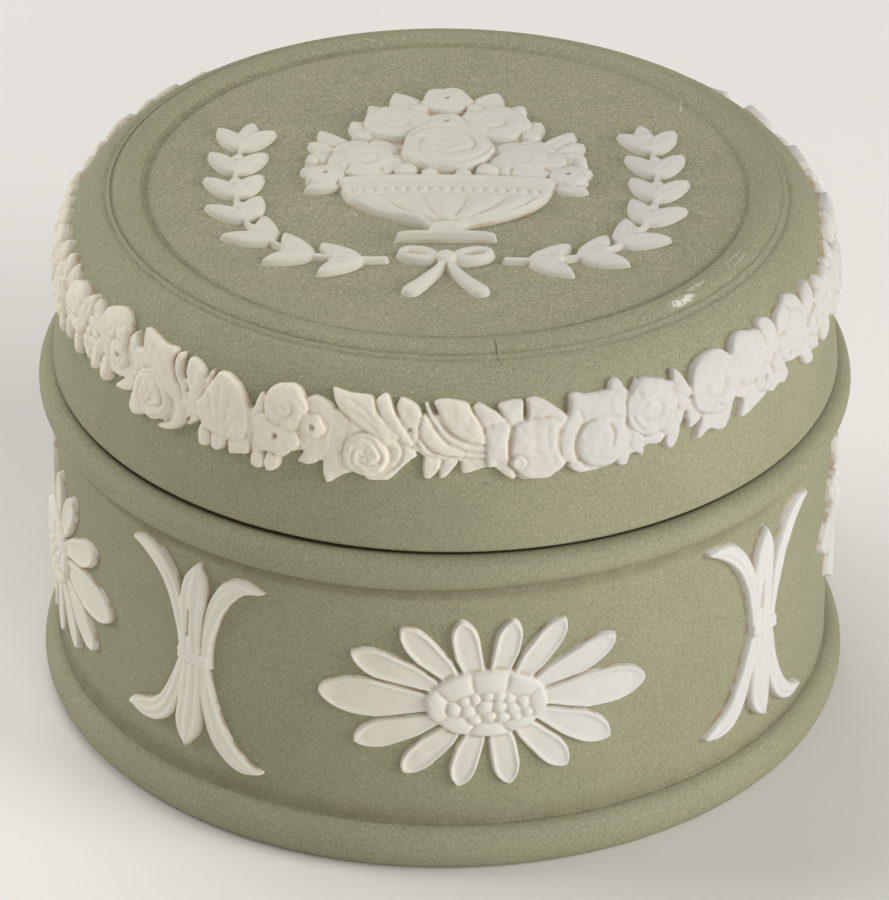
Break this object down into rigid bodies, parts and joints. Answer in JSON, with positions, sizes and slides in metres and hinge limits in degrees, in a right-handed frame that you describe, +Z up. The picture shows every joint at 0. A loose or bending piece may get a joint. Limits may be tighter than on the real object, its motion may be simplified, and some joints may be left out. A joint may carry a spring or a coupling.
{
  "type": "round box",
  "caption": "Small round lidded stoneware box for trinkets, sage green with white relief flowers, and a lid that lifts off a raised collar.",
  "frame": {"origin": "centre of the foot ring, on the surface the box stands on", "axes": "+Z up along the axis of the box; the front daisy faces -Y"},
  "size_m": [0.083, 0.083, 0.0567],
  "materials": {
    "green_clay": "matt unglazed, fine grained",
    "white_clay": "matt unglazed, smooth"
  },
  "bodies": {
    "base": {"base_body": "green_clay", "daisy_1": "white_clay", "palmette_1": "white_clay", "daisy_2": "white_clay", "palmette_2": "white_clay", "daisy_3": "white_clay", "palmette_3": "white_clay", "daisy_4": "white_clay", "palmette_4": "white_clay"},
    "lid": {"lid_shell": "green_clay", "garland_length_1": "white_clay", "garland_length_2": "white_clay", "garland_length_3": "white_clay", "garland_length_4": "white_clay", "garland_length_5": "white_clay", "garland_length_6": "white_clay", "garland_length_7": "white_clay", "garland_length_8": "white_clay", "panel_bowl": "white_clay", "panel_branch_left": "white_clay", "panel_branch_right": "white_clay", "panel_bow": "white_clay"}
  },
  "joints": [
    {"name": "lid_lift", "type": "slide", "parent": "base", "child": "lid", "axis": [0, 0, 1], "range_m": [0, 0.06]}
  ]
}
